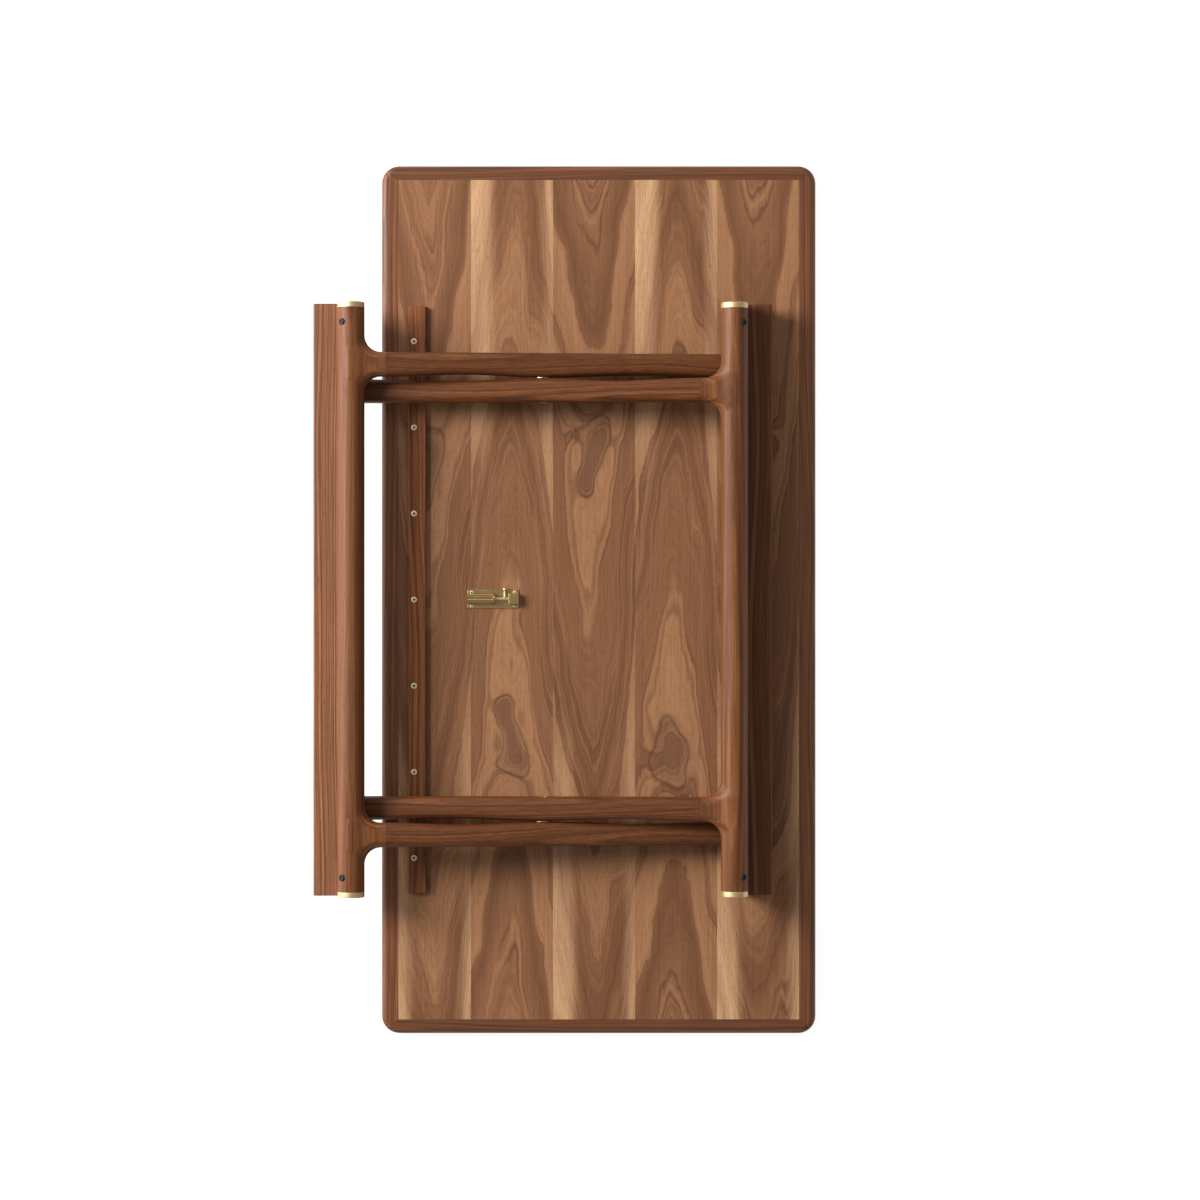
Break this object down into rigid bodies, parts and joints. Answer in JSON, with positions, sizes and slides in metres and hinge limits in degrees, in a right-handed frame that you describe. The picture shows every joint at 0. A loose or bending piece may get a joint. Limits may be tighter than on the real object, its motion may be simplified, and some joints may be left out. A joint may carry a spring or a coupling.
{
  "type": "folding x-frame table",
  "caption": "Low folding table: rectangular walnut top whose crossed leg frames fold flat against its underside, with brass caps, hinges and a barrel bolt that locks the open legs.",
  "frame": {"origin": "centre of the top's show face, which lies down while the table is folded", "axes": "+X across the top from the free rail to the hinged rail, +Y along the top, +Z from the show face out of the underside, towards the folded legs"},
  "size_m": [0.6905, 1.2, 0.1092],
  "materials": {
    "walnut": "satin oiled solid walnut",
    "walnut_veneer": "satin figured walnut veneer",
    "brass": "satin, slightly aged",
    "pad_rubber": "matt black"
  },
  "bodies": {
    "tabletop": {"top_panel": "walnut_veneer", "side_lipping_1": "walnut", "end_lipping_1": "walnut", "side_lipping_2": "walnut", "end_lipping_2": "walnut", "stop_cleat": "walnut", "cleat_screw_1": "brass", "cleat_screw_2": "brass", "cleat_screw_3": "brass", "cleat_screw_4": "brass", "cleat_screw_5": "brass", "cleat_screw_6": "brass", "cleat_screw_7": "brass", "catch_plate": "brass", "catch_barrel": "brass", "catch_guide": "brass", "catch_screw_1": "brass", "catch_screw_2": "brass", "catch_screw_3": "brass", "catch_screw_4": "brass", "hinge_1_table_leaf": "brass", "hinge_1_table_screw_1": "brass", "hinge_1_table_screw_2": "brass", "hinge_2_table_leaf": "brass", "hinge_2_table_screw_1": "brass", "hinge_2_table_screw_2": "brass"},
    "hinge_pins": {"hinge_1_pin": "brass", "hinge_2_pin": "brass"},
    "outer_frame": {"outer_foot_bar": "walnut", "outer_leg_1": "walnut", "outer_foot_cap_1": "brass", "outer_foot_pad_1": "pad_rubber", "outer_leg_2": "walnut", "outer_foot_cap_2": "brass", "outer_foot_pad_2": "pad_rubber", "hinged_rail": "walnut", "pivot_bolt_1": "brass", "pivot_washer_1": "brass", "pivot_nut_1": "brass", "hinge_1_rail_leaf": "brass", "hinge_1_rail_screw_1": "brass", "hinge_1_rail_screw_2": "brass", "pivot_bolt_2": "brass", "pivot_washer_2": "brass", "pivot_nut_2": "brass", "hinge_2_rail_leaf": "brass", "hinge_2_rail_screw_1": "brass", "hinge_2_rail_screw_2": "brass"},
    "inner_frame": {"inner_foot_bar": "walnut", "inner_leg_1": "walnut", "inner_foot_cap_1": "brass", "inner_foot_pad_1": "pad_rubber", "inner_leg_2": "walnut", "inner_foot_cap_2": "brass", "inner_foot_pad_2": "pad_rubber", "free_rail": "walnut", "strike_ferrule": "brass"},
    "bolt_rod": {"catch_rod": "brass", "catch_lever": "brass"}
  },
  "joints": [
    {"name": "leg_drop", "type": "hinge", "parent": "tabletop", "child": "hinge_pins", "pos_m": [0.197, 0, 0.0246], "axis": [0, -1, 0], "range_deg": [0, 1.15]},
    {"name": "leg_spread", "type": "hinge", "parent": "hinge_pins", "child": "outer_frame", "pos_m": [0.197, 0, 0.0246], "axis": [0, 1, 0], "range_deg": [0, 38.6]},
    {"name": "cross_pivot", "type": "hinge", "parent": "outer_frame", "child": "inner_frame", "pos_m": [-0.07621, 0, 0.0666], "axis": [0, -1, 0], "range_deg": [0, 77.22]},
    {"name": "bolt_slide", "type": "slide", "parent": "tabletop", "child": "bolt_rod", "axis": [-1, 0, 0], "range_m": [0, 0.0105]}
  ],
  "couplings": [
    {"joint": "cross_pivot", "follows": "leg_spread", "ratio": 2}
  ]
}
